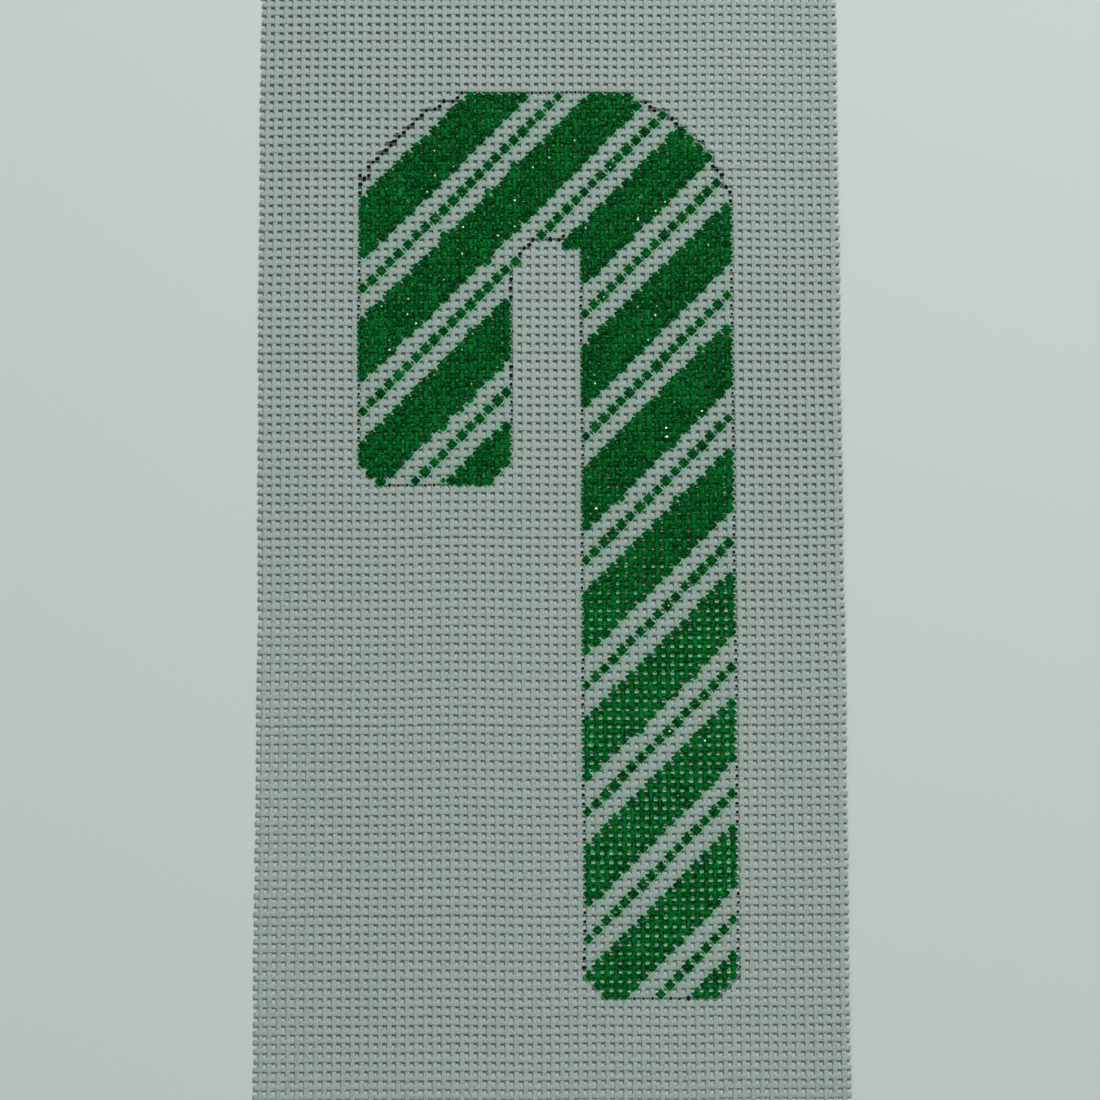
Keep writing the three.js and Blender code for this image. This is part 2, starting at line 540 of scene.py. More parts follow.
    def paint(self, right: np.ndarray, down: np.ndarray) -> np.ndarray:
        """How far each point lies inside the paint.

        For each of the nine nearest crossings it is the spot's radius less the distance to the
        spot's middle, and the largest of these is kept. The distance is the root of the sum of
        the steps right and down, each raised to the power that gives the spot its outline. The
        step down is divided by the spot's tallness first. The depth is then held down to the
        depth inside the cane's outline, moved out by the overrun.

        Args:
            right: Threads right of the canvas's left edge line.
            down: Threads below its top edge line.

        Returns:
            Depths in threads, negative outside the paint and never below -1.
        """
        u = right - self.shape.left_line + BARE_MARGIN
        v = down - self.shape.top_line + BARE_MARGIN
        columns, rows = self._radius.shape
        depth = np.full(u.shape, -1.0)
        for step_right in (-1, 0, 1):
            for step_down in (-1, 0, 1):
                column = np.clip(np.floor(u).astype(int) + step_right, 0, columns - 1)
                row = np.clip(np.floor(v).astype(int) + step_down, 0, rows - 1)
                away_right = u - column - self._middle[0, column, row]
                away_down = (v - row - self._middle[1, column, row]) / self._tallness[column, row]
                roundness = self._roundness[column, row]
                power = np.abs(away_right) ** roundness + np.abs(away_down) ** roundness
                spot = self._radius[column, row] - power ** (1.0 / roundness)
                depth = np.maximum(depth, spot)
        outline = self.distance(right - self.shape.left_line, down - self.shape.top_line)
        return np.maximum(np.minimum(depth, self.overrun - outline), -1.0)

    def pen(self, right: np.ndarray, down: np.ndarray) -> np.ndarray:
        """The distance to the pen line, which wanders a little to both sides of the outline.

        The wander is the sum of three sine waves of different lengths and directions.

        Args:
            right: Threads right of the canvas's left edge line.
            down: Threads below its top edge line.

        Returns:
            Distances in threads, negative inside the cane.
        """
        across = right - self.shape.left_line - self.pen_shift[0]
        along = down - self.shape.top_line - self.pen_shift[1]
        wander = 0.0
        for turn_right, turn_down, phase in self.pen_waves:
            wander = wander + np.sin(turn_right * across + turn_down * along + phase)
        return self.distance(across, along) + self.pen_wobble * wander

    def press(self, right: np.ndarray, down: np.ndarray) -> np.ndarray:
        """How much wider the pen's marks are than on the straight sides.

        It is 1, and rises on a smooth step to the full press near each pressed place.

        Args:
            right: Threads right of the canvas's left edge line.
            down: Threads below its top edge line.

        Returns:
            Shares from 1 up.
        """
        heavy = np.zeros(np.shape(right))
        for column, row, reach in self.pressed:
            away = np.hypot(right - self.shape.left_line - column, down - self.shape.top_line - row)
            heavy = np.maximum(heavy, smooth_step(away, reach, self.full_press * reach))
        return 1.0 + (self.pen_press - 1.0) * heavy


# ---------------------------------------------------------------------------------------------
# Materials
# ---------------------------------------------------------------------------------------------


class NodeGraph:
    """A material's nodes, with short ways to add and join them."""

    def __init__(self, name: str) -> None:
        """Makes a material with only an output.

        Args:
            name: The material's name.
        """
        self.material = bpy.data.materials.new(name)
        self.material.use_nodes = True
        self._tree = self.material.node_tree
        self._tree.nodes.clear()
        self._output = self._tree.nodes.new("ShaderNodeOutputMaterial")

    def put(self, socket: bpy.types.NodeSocket, value: object) -> None:
        """Joins a socket to another one, or sets it to a number, a colour or a vector.

        Args:
            socket: An input.
            value: An output socket, or a plain value.
        """
        if isinstance(value, bpy.types.NodeSocket):
            self._tree.links.new(value, socket)
        else:
            socket.default_value = value

    def node(self, kind: str, **settings: object) -> bpy.types.Node:
        """Adds a node.

        Args:
            kind: The node's type.
            settings: Its properties by name.

        Returns:
            The node.
        """
        made = self._tree.nodes.new(kind)
        for name, value in settings.items():
            setattr(made, name, value)
        return made

    def attribute(self, name: str) -> bpy.types.NodeSocket:
        """The number that the mesh's points carry under this name."""
        return self.node("ShaderNodeAttribute", attribute_name=name).outputs["Fac"]

    def math(self, operation: str, *values: object, clamp: bool = False) -> bpy.types.NodeSocket:
        """One sum of numbers or sockets.

        Args:
            operation: Which sum.
            values: What goes into it, in order.
            clamp: Whether the result is held between 0 and 1.

        Returns:
            The result.
        """
        made = self.node("ShaderNodeMath", operation=operation, use_clamp=clamp)
        for socket, value in zip(made.inputs, values):
            self.put(socket, value)
        return made.outputs[0]

    def total(
        self, start: object, *terms: tuple[object, float], clamp: bool = False
    ) -> bpy.types.NodeSocket:
        """Adds up sockets, each one times its strength.

        Args:
            start: A number or socket that the rest is added to.
            terms: The sockets, each with its strength.
            clamp: Whether the result is held between 0 and 1.

        Returns:
            The sum.
        """
        result = start
        for number, (value, strength) in enumerate(terms, 1):
            held = clamp and number == len(terms)
            result = self.math("MULTIPLY_ADD", value, strength, result, clamp=held)
        return result

    def step(self, value: object, low: object, high: object) -> bpy.types.NodeSocket:
        """A smooth rise from 0 to 1.

        Args:
            value: What it depends on.
            low: The value that gives 0.
            high: The value that gives 1. It may be below `low`.

        Returns:
            A number from 0 to 1.
        """
        made = self.node("ShaderNodeMapRange", interpolation_type="SMOOTHSTEP", clamp=True)
        for name, given in (("Value", value), ("From Min", low), ("From Max", high)):
            self.put(made.inputs[name], given)
        return made.outputs["Result"]

    def mix(self, factor: object, first: object, second: object) -> bpy.types.NodeSocket:
        """A colour between two others.

        Args:
            factor: 0 for the first and 1 for the second.
            first: A colour.
            second: Another.

        Returns:
            The colour.
        """
        made = self.node("ShaderNodeMix", data_type="RGBA", clamp_factor=True)
        self.put(made.inputs["Factor"], factor)
        self.put(made.inputs[6], first)
        self.put(made.inputs[7], second)
        return made.outputs[2]

    def between(self, factor: object, first: object, second: object) -> bpy.types.NodeSocket:
        """A number between two others.

        Args:
            factor: 0 for the first and 1 for the second.
            first: A number.
            second: Another.

        Returns:
            The number.
        """
        made = self.node("ShaderNodeMix", data_type="FLOAT", clamp_factor=True)
        self.put(made.inputs["Factor"], factor)
        self.put(made.inputs["A"], first)
        self.put(made.inputs["B"], second)
        return made.outputs["Result"]

    def noise(self, vector: object, size: float, detail: float = 2.0) -> bpy.types.NodeSocket:
        """Cloudy noise about 0, whose lumps are about `size` across.

        Args:
            vector: The coordinates.
            size: In the coordinates' own unit.
            detail: How many finer layers are added.

        Returns:
            A number from about -0.5 to 0.5.
        """
        made = self.node("ShaderNodeTexNoise")
        self.put(made.inputs["Vector"], vector)
        made.inputs["Scale"].default_value = 1.0 / size
        made.inputs["Detail"].default_value = detail
        return self.math("SUBTRACT", made.outputs["Fac"], 0.5)

    def surface(self, inputs: dict[str, object]) -> bpy.types.Material:
        """Gives the material its surface shader.

        Args:
            inputs: What the shader's inputs are joined or set to, by their names.

        Returns:
            The finished material.
        """
        shader = self.node("ShaderNodeBsdfPrincipled")
        for name, value in inputs.items():
            self.put(shader.inputs[name], value)
        self._tree.links.new(shader.outputs["BSDF"], self._output.inputs["Surface"])
        return self.material


@dataclass(frozen=True)
class ThreadFinish:
    """Stiffened cotton thread, the paint on it and the pen line over both.

    Attributes:
        cotton: The bare thread.
        cotton_shade: The bare thread in its darker fibres.
        stain: Cotton that a little paint has crept into.
        wash_and_bounce: Much thinned paint and painted green light bounced off the paint, which
        dull the cotton between the bands.
        paint_deep_and_shaded: The paint where it lies thick, and its painted shade low in the
            canvas.
        paint_bright_and_lit: The paint where the brush left it thin and fresh, and its painted
            highlight high in the canvas and along a thread's raised middle.
        ink: The pen line.
        cotton_rough: Roughness of the bare thread.
        paint_rough: Roughness of the paint.
        shine: Specular level of both.
        edge_soft: Half the width of the paint's edge, in threads.
        edge_ragged: How far noise moves that edge, in threads.
        soak_levels: Where the paint starts to give out and where it is at its least, as heights in
            the canvas from 0 at the underside to 1 at the face.
        soak_loss: How much less deep the paint is there, in threads.
        back_levels: Where the soaked patches start and are full, as the same heights.
        back_patches: How deep those patches are, in threads.
        stain_reach: How far a thin stain of paint passes its edge, in threads.
        stain_strength: How much of the colour under it the stain hides.
        wash_and_bounce_reach: How far that dulling passes the paint's edge, in threads.
        wash_and_bounce_strength: How much of the cotton's colour it takes away beside the paint.
        wash_and_bounce_inside: How much it takes away everywhere inside the cane.
        wash_and_bounce_line: How far inside the pen line that is full, and outside it is gone, in
            threads.
        pen_half_width: Of a mark, in threads.
        pen_crown: How much of a thread's width a mark takes.
        pen_edge: The sums of squares between which a mark fades in.
        pen_levels: The heights in the canvas between which the pen starts to reach the thread.
        pen_frayed: How far noise moves a mark's edge, in threads.
        pen_strayed: How far slower noise moves it.
        plies: How many strands are twisted together.
        twist: Turns of the strands to a pitch.
        streaks: How many times finer the streaks are round a thread than along it.
        streak_length: Of one, in pitches.
        apart: How far apart in the noise two threads' streaks are read.
        relief: Height of the strands.
        relief_strength: How much of it shows.
        filled: How much of it the paint fills.
    """

    cotton: Color = (0.335, 0.402, 0.366, 1.0)
    cotton_shade: Color = (0.245, 0.302, 0.27, 1.0)
    stain: Color = (0.2, 0.41, 0.28, 1.0)
    wash_and_bounce: Color = (0.04, 0.25, 0.12, 1.0)
    paint_deep_and_shaded: Color = (0.0005, 0.02, 0.0038, 1.0)
    paint_bright_and_lit: Color = (0.0035, 0.175, 0.026, 1.0)
    ink: Color = (0.006, 0.008, 0.008, 1.0)
    cotton_rough: float = 0.9
    paint_rough: float = 0.6
    shine: float = 0.01
    edge_soft: float = 0.05
    edge_ragged: float = 0.13
    soak_levels: tuple[float, float] = (0.42, 0.12)
    soak_loss: float = 0.8
    back_levels: tuple[float, float] = (0.2, 0.05)
    back_patches: float = 1.6
    stain_reach: float = 0.2
    stain_strength: float = 0.8
    wash_and_bounce_reach: float = 0.9
    wash_and_bounce_strength: float = 0.22
    wash_and_bounce_inside: float = 0.13
    wash_and_bounce_line: float = 0.3
    pen_half_width: float = 0.17
    pen_crown: float = 0.68
    pen_edge: tuple[float, float] = (1.2, 0.8)
    pen_levels: tuple[float, float] = (0.5, 0.62)
    pen_frayed: float = 0.14
    pen_strayed: float = 0.16
    plies: float = 3.0
    twist: float = 0.55
    streaks: float = 5.0
    streak_length: float = 0.7
    apart: float = 50.0
    relief: float = 0.02 * MM
    relief_strength: float = 0.5
    filled: float = 0.55

    def material(self) -> bpy.types.Material:
        """Builds the material, layer by layer from the cotton up.

        The cotton lies between its two colours, as the strands, fibres, streaks and clouds add
        up. Thinned paint and a painted green light bounced off the paint dull it beside the paint
        and, less, everywhere inside the pen line. The pen leaves an oval mark on the crown of each
        thread that it meets: the sum of the squares of the shares of the way across the line and
        across the thread is at most about 1.

        The paint covers the points inside its edge, which noise moves a little, and a thin stain
        reaches past it. It covers less on the canvas's underside, where only patches soak through.
        It has a painted shade low in the canvas and a painted highlight high in it and along a
        thread's raised middle, and it is darker where it lies thick.

        The strands' twist is a sine of the way round the thread plus the way along it. It is a
        faint shade and a bump, which the paint fills in part.

        Returns:
            The material.
        """
        graph = NodeGraph("painted_cotton")
        places = graph.node("ShaderNodeTexCoord").outputs["Object"]
        split = graph.node("ShaderNodeSeparateXYZ")
        graph.put(split.inputs[0], graph.node("ShaderNodeUVMap", uv_map="Thread").outputs["UV"])
        around, along = split.outputs["X"], split.outputs["Y"]
        level, paint, thick = (graph.attribute(name) for name in ("level", "paint", "thick"))
        pen, crown, ridge = (graph.attribute(name) for name in ("pen", "crown", "ridge"))
        tint = graph.attribute("tint")

        turns = graph.total(0.0, (along, self.twist * self.plies), (around, self.plies))
        strand = graph.math("SINE", graph.math("MULTIPLY", turns, TURN))
        fibre = graph.noise(places, 0.12 * MM, detail=3.0)
        lengthwise = graph.node("ShaderNodeCombineXYZ")
        graph.put(lengthwise.inputs["X"], graph.math("MULTIPLY", around, self.streaks))
        graph.put(lengthwise.inputs["Y"], along)
        graph.put(lengthwise.inputs["Z"], graph.math("MULTIPLY", tint, self.apart))
        streak = graph.noise(lengthwise.outputs[0], self.streak_length)

        # The bare thread
        shade = graph.total(
            0.48,
            (strand, 0.06),
            (fibre, 1.2),
            (graph.noise(places, 0.38 * MM), 5.0),
            (tint, 0.06),
            (streak, 0.4),
            (graph.noise(places, 9.0 * MM), 0.3),
            clamp=True,
        )
        color = graph.mix(shade, self.cotton, self.cotton_shade)

        # How far inside the paint each point is, and the thinned paint and painted green bounce round it
        depth = graph.total(paint, (graph.noise(places, 0.55 * MM), self.edge_ragged))
        soaked = graph.math("MULTIPLY", graph.step(level, *self.soak_levels), self.soak_loss)
        depth = graph.math("SUBTRACT", depth, soaked)
        patches = graph.noise(places, 2.2 * MM)
        patches = graph.math("MULTIPLY", patches, graph.step(level, *self.back_levels))
        depth = graph.total(depth, (patches, self.back_patches))
        # thinned paint and painted green bounce light: darker, greener cotton by the paint and in the
        # cane
        wash_and_bounce_share = graph.total(
            0.0,
            (graph.step(depth, -self.wash_and_bounce_reach, 0.0), self.wash_and_bounce_strength),
            (graph.step(pen, self.wash_and_bounce_line, -self.wash_and_bounce_line), self.wash_and_bounce_inside),
        )
        color = graph.mix(wash_and_bounce_share, color, self.wash_and_bounce)

        # The pen line, which the paint covers where they meet
        away = graph.total(
            graph.math("ABSOLUTE", pen),
            (graph.noise(places, 0.9 * MM), self.pen_frayed),
            (graph.noise(places, 3.0 * MM, detail=1.0), self.pen_strayed),
        )
        wide = graph.math("POWER", graph.math("DIVIDE", away, self.pen_half_width), 2.0)
        high = graph.math("POWER", graph.math("DIVIDE", crown, self.pen_crown), 2.0)
        line = graph.step(graph.math("ADD", wide, high), *self.pen_edge)
        line = graph.math("MULTIPLY", line, graph.step(level, *self.pen_levels))
        color = graph.mix(line, color, self.ink)

        # The paint, with a painted shade low in the canvas and a painted highlight high and on crowns
        stained = graph.math("MULTIPLY", graph.step(depth, -self.stain_reach, 0.0), self.stain_strength)
        color = graph.mix(stained, color, self.stain)
        brush = graph.total(
            -0.12,
            # painted shade and highlight: darker low in the canvas, lighter high in it
            (level, 0.3),
            (thick, -0.09),
            # painted highlight along each thread's raised middle
            (ridge, 0.4),
            (graph.noise(places, 6.0 * MM), 0.6),
            (graph.noise(places, 1.9 * MM, detail=1.0), 0.3),
            (graph.noise(places, 0.4 * MM), 2.6),
            (streak, 1.7),
            (tint, 0.05),
            clamp=True,
        )
        green = graph.mix(brush, self.paint_deep_and_shaded, self.paint_bright_and_lit)
        cover = graph.step(depth, -self.edge_soft, self.edge_soft)
        color = graph.mix(cover, color, green)

        relief = graph.total(strand, (fibre, 0.8))
        bump = graph.node("ShaderNodeBump")
        unfilled = graph.total(1.0, (cover, -self.filled))
        graph.put(bump.inputs["Height"], graph.math("MULTIPLY", relief, unfilled))
        graph.put(bump.inputs["Distance"], self.relief)
        graph.put(bump.inputs["Strength"], self.relief_strength)
        return graph.surface(
            {
                "Base Color": color,
                "Roughness": graph.between(cover, self.cotton_rough, self.paint_rough),
                "Normal": bump.outputs["Normal"],
                "Specular IOR Level": self.shine,
            }
        )


@dataclass(frozen=True)
class GlitterFinish:
    """Flecks of bright foil.

    Attributes:
        foil: The foil itself.
        shade: The foil where paint tints it.
        tinted: How much of it is tinted on average.
        patch: Size of a tinted patch.
        roughness: Of the foil.
    """

    foil: Color = (0.92, 0.97, 0.93, 1.0)
    shade: Color = (0.6, 0.85, 0.68, 1.0)
    tinted: float = 0.35
    patch: float = 1.5 * MM
    roughness: float = 0.25

    def material(self) -> bpy.types.Material:
        """Builds the material: foil that is tinted in patches by the paint that it lies in.

        Returns:
            The material.
        """
        graph = NodeGraph("glitter_foil")
        places = graph.node("ShaderNodeTexCoord").outputs["Object"]
        patch = graph.math("ADD", graph.noise(places, self.patch), self.tinted, clamp=True)
        color = graph.mix(patch, self.foil, self.shade)
        return graph.surface({"Base Color": color, "Roughness": self.roughness})


@dataclass(frozen=True)
class FilmFinish:
    """The skin of dried paint in a closed gap.

    Attributes:
        name: The material's name.
        thin: Its colour where it is thinnest.
        thick: Its colour where it is thickest.
        roughness: Of the skin.
        shine: Its specular level.
        between: How much the shade changes from skin to skin.
        within: How much it changes inside one.
    """

    name: str = "paint_film"
    thin: Color = (0.03, 0.16, 0.055, 1.0)
    thick: Color = (0.004, 0.07, 0.014, 1.0)
    roughness: float = 0.6
    shine: float = 0.1
    between: float = 2.5
    within: float = 1.5

    def material(self) -> bpy.types.Material:
        """Builds the material: paint whose shade changes from skin to skin and a little within.

        Returns:
            The material.
        """
        graph = NodeGraph(self.name)
        places = graph.node("ShaderNodeTexCoord").outputs["Object"]
        shade = graph.total(
            0.5,
            (graph.noise(places, 2.5 * MM), self.between),
            (graph.noise(places, 0.4 * MM), self.within),
            clamp=True,
        )
        color = graph.mix(shade, self.thin, self.thick)
        return graph.surface(
            {"Base Color": color, "Roughness": self.roughness, "Specular IOR Level": self.shine}
        )


@dataclass(frozen=True)
class FloorFinish:
    """A plain pale table top.

    Attributes:
        color: Most of it.
        darker: The table top in its slow clouds.
        cloud: Size of a cloud.
        roughness: Of the table top.
    """

    color: Color = (0.495, 0.55, 0.515, 1.0)
    darker: Color = (0.48, 0.535, 0.5, 1.0)
    cloud: float = 0.4
    roughness: float = 0.8

    def material(self) -> bpy.types.Material:
        """Builds the material: one colour with a faint slow cloudiness.

        Returns:
            The material.
        """
        graph = NodeGraph("pale_floor")
        places = graph.node("ShaderNodeTexCoord").outputs["Object"]
        cloud = graph.math("ADD", graph.noise(places, self.cloud), 0.5, clamp=True)
        color = graph.mix(cloud, self.color, self.darker)
        return graph.surface({"Base Color": color, "Roughness": self.roughness})


# ---------------------------------------------------------------------------------------------
# Meshes
# ---------------------------------------------------------------------------------------------


def add_object(name: str, data: bpy.types.ID) -> bpy.types.Object:
    """Makes an object, linked to the scene at the origin.

    Args:
        name: Its name.
        data: Its mesh, lamp or camera.

    Returns:
        The object.
    """
    obj = bpy.data.objects.new(name, data)
    bpy.context.scene.collection.objects.link(obj)
    return obj


def piece_from(name: str, points: np.ndarray, faces: list) -> bpy.types.Object:
    """Makes a mesh object, linked to the scene at the origin.

    Args:
        name: The piece's name.
        points: Its points, in rows.
        faces: Lists of point numbers.

    Returns:
        The object.
    """
    mesh = bpy.data.meshes.new(name)
    mesh.from_pydata(points.reshape(-1, 3), [], faces)
    mesh.update()
    return add_object(name, mesh)


def dress(piece: bpy.types.Object, material: bpy.types.Material) -> None:
    """Gives a piece its material and joins it to the model's body.

    Args:
        piece: The piece.
        material: Its only material.
    """
    piece.data.materials.append(material)
    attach(piece, BODY)


@dataclass
class Tubes:
    """Closed tubes that all have the same number of rings, as arrays.

    Attributes:
        points: Places of the rings' points, indexed by tube, ring, side and axis.
        right: The points' places in warp threads, indexed by tube, ring and side.
        down: The points' places in weft threads.
        level: The points' height in the canvas, from 0 at its underside to 1 at its face.
        across: The points' places across their own tube, from -1 to 1.
        tint: Each tube's own shade, from -1 to 1.
        along: Length from the tube's start to each ring, in pitches, indexed by tube and ring.
    """

    points: np.ndarray
    right: np.ndarray
    down: np.ndarray
    level: np.ndarray
    across: np.ndarray
    tint: np.ndarray
    along: np.ndarray

    @property
    def counts(self) -> tuple[int, int, int]:
        """How many tubes there are, rings in a tube, and sides to a ring."""
        return self.points.shape[:3]


@dataclass(frozen=True)
class BakeSheet:
    """How a piece's tubes are laid out side by side on one square map, without overlap.

    Each tube is slit along its length and laid flat as a ribbon. A ribbon's two end faces follow
    it in its row. The rows are stacked from the bottom of the square.

    Attributes:
        rows: How many rows of ribbons the square holds.
        row_length: Length of a row, in pitches.
        ribbon_share: The part of a row's height that the ribbon takes.
        cap: Width of an end face's place, in pitches.
        cap_radius: Of an end face in it, as a share of the place's width and height.
        gap: Between two places in a row, in pitches.
    """

    rows: int
    row_length: float = 69.0
    ribbon_share: float = 0.88
    cap: float = 0.5
    cap_radius: float = 0.45
    gap: float = 0.25

    def room(self, length: float) -> float:
        """The length of row that a ribbon of this length and its two end faces take."""
        return length + 2.0 * self.cap + 4.0 * self.gap

    def starts(self, tubes: Tubes, first_row: int) -> tuple[np.ndarray, np.ndarray, int]:
        """Gives each tube its place.

        Args:
            tubes: The tubes, all of one length.
            first_row: The first free row.

        Returns:
            Where each ribbon starts in its row, the row of each, and the next free row.
        """
        count = tubes.counts[0]
        room = self.room(float(tubes.along[0, -1]))
        in_row = max(1, int(self.row_length // room))
        number = np.arange(count)
        rows = first_row + number // in_row
        return (number % in_row) * room, rows, int(rows[-1]) + 1

    def ribbon(self, tubes: Tubes, first_row: int) -> tuple[np.ndarray, np.ndarray, int]:
        """The map places of all side faces and end faces.

        A side face's place runs along the row with the tube's length and up the row with its side
        number. An end face is a small polygon with the ring's own angles.

        Args:
            tubes: The tubes.
            first_row: The first free row.

        Returns:
            Places of the side faces' corners, indexed by tube, step, side, corner and axis; places
            of the end faces' corners, indexed by tube, end, corner and axis; and the next free row.
        """
        count, rings, sides = tubes.counts
        start, row, next_row = self.starts(tubes, first_row)
        height = self.ribbon_share / self.rows
        low = row / self.rows + 0.5 * (1.0 - self.ribbon_share) / self.rows
        u = (start[:, None] + tubes.along) / self.row_length
        v = low[:, None] + height * np.arange(sides + 1) / sides
        faces = np.empty((count, rings - 1, sides, 4, 2))
        for corner, (ring, side) in enumerate(FACE_CORNERS):
            faces[..., corner, 0] = u[:, ring : rings - 1 + ring, None]
            faces[..., corner, 1] = v[:, None, side : sides + side]
        angle = TURN * np.arange(sides) / sides
        caps = np.empty((count, 2, sides, 2))
        for end in range(2):
            middle = start + tubes.along[:, -1] + self.gap + (end + 0.5) * self.cap + end * self.gap
            wide = self.cap_radius * self.cap / self.row_length
            high = self.cap_radius * height
            caps[:, end, :, 0] = middle[:, None] / self.row_length + wide * np.cos(angle)
            caps[:, end, :, 1] = low[:, None] + 0.5 * height + high * np.sin(angle)
        return faces, caps, next_row


class ThreadMesh:
    """Gathers tubes and puts them into one mesh, with its attributes and maps."""

    def __init__(self, name: str, sheet: BakeSheet) -> None:
        """Starts an empty mesh.

        Args:
            name: The piece's name.
            sheet: The map that its surfaces are laid out on.
        """
        self.name = name
        self.sheet = sheet
        self._points: list[np.ndarray] = []
        self._values: dict[str, list[np.ndarray]] = {}
        self._corners: list[np.ndarray] = []
        self._sizes: list[np.ndarray] = []
        self._flat: list[np.ndarray] = []
        self._bake: list[np.ndarray] = []
        self._thread: list[np.ndarray] = []
        self._vertex_count = 0
        self._next_row = 0

    def add(self, tubes: Tubes, values: dict[str, np.ndarray]) -> None:
        """Adds tubes.

        Args:
            tubes: The tubes.
            values: Named numbers for their points, indexed by tube, ring and side.
        """
        count, rings, sides = tubes.counts
        number = np.arange(count * rings * sides).reshape(count, rings, sides) + self._vertex_count
        beside = np.roll(number, -1, axis=2)
        side_faces = np.stack(
            (number[:, :-1], beside[:, :-1], beside[:, 1:], number[:, 1:]), axis=-1
        )
        end_faces = np.stack((number[:, 0, ::-1], number[:, -1]), axis=1)
        bake_sides, bake_ends, self._next_row = self.sheet.ribbon(tubes, self._next_row)
        bake_ends[:, 0] = bake_ends[:, 0, ::-1]

        around = np.arange(sides + 1) / sides
        thread_sides = np.empty(side_faces.shape + (2,))
        for corner, (ring, side) in enumerate(FACE_CORNERS):
            thread_sides[..., corner, 0] = around[side : sides + side]
            thread_sides[..., corner, 1] = tubes.along[:, ring : rings - 1 + ring, None]
        thread_ends = np.zeros(end_faces.shape + (2,))

        self._points.append(tubes.points.reshape(-1, 3))
        for name, value in values.items():
            self._values.setdefault(name, []).append(value.ravel())
        self._corners += [side_faces.ravel(), end_faces.ravel()]
        self._sizes += [np.full(side_faces[..., 0].size, 4), np.full(end_faces[..., 0].size, sides)]
        self._flat += [np.zeros(side_faces[..., 0].size, bool), np.ones(end_faces[..., 0].size, bool)]
        self._bake += [bake_sides.reshape(-1, 2), bake_ends.reshape(-1, 2)]
        self._thread += [thread_sides.reshape(-1, 2), thread_ends.reshape(-1, 2)]
        self._vertex_count += count * rings * sides

    def build(self) -> bpy.types.Object:
        """Makes the mesh object, with smooth sides and flat ends.

        Returns:
            The object, linked to the scene at the origin.
        """
        mesh = bpy.data.meshes.new(self.name)
        corners = np.concatenate(self._corners).astype(np.int32)
        sizes = np.concatenate(self._sizes)
        mesh.vertices.add(self._vertex_count)
        mesh.vertices.foreach_set("co", np.concatenate(self._points).astype(np.float32).ravel())
        mesh.loops.add(len(corners))
        mesh.loops.foreach_set("vertex_index", corners)
        mesh.polygons.add(len(sizes))
        starts = np.concatenate(([0], np.cumsum(sizes)[:-1])).astype(np.int32)
        mesh.polygons.foreach_set("loop_start", starts)
        mesh.polygons.foreach_set("use_smooth", ~np.concatenate(self._flat))
        for name, values in self._values.items():
            attribute = mesh.attributes.new(name, "FLOAT", "POINT")
            attribute.data.foreach_set("value", np.concatenate(values).astype(np.float32))
        for name, places in (("Thread", self._thread), ("OFBake", self._bake)):
            layer = mesh.uv_layers.new(name=name, do_init=False)
            layer.uv.foreach_set("vector", np.concatenate(places).astype(np.float32).ravel())
        mesh.update(calc_edges=True)
        mesh.validate()
        return add_object(self.name, mesh)


# ---------------------------------------------------------------------------------------------
# The woven canvas
# ---------------------------------------------------------------------------------------------


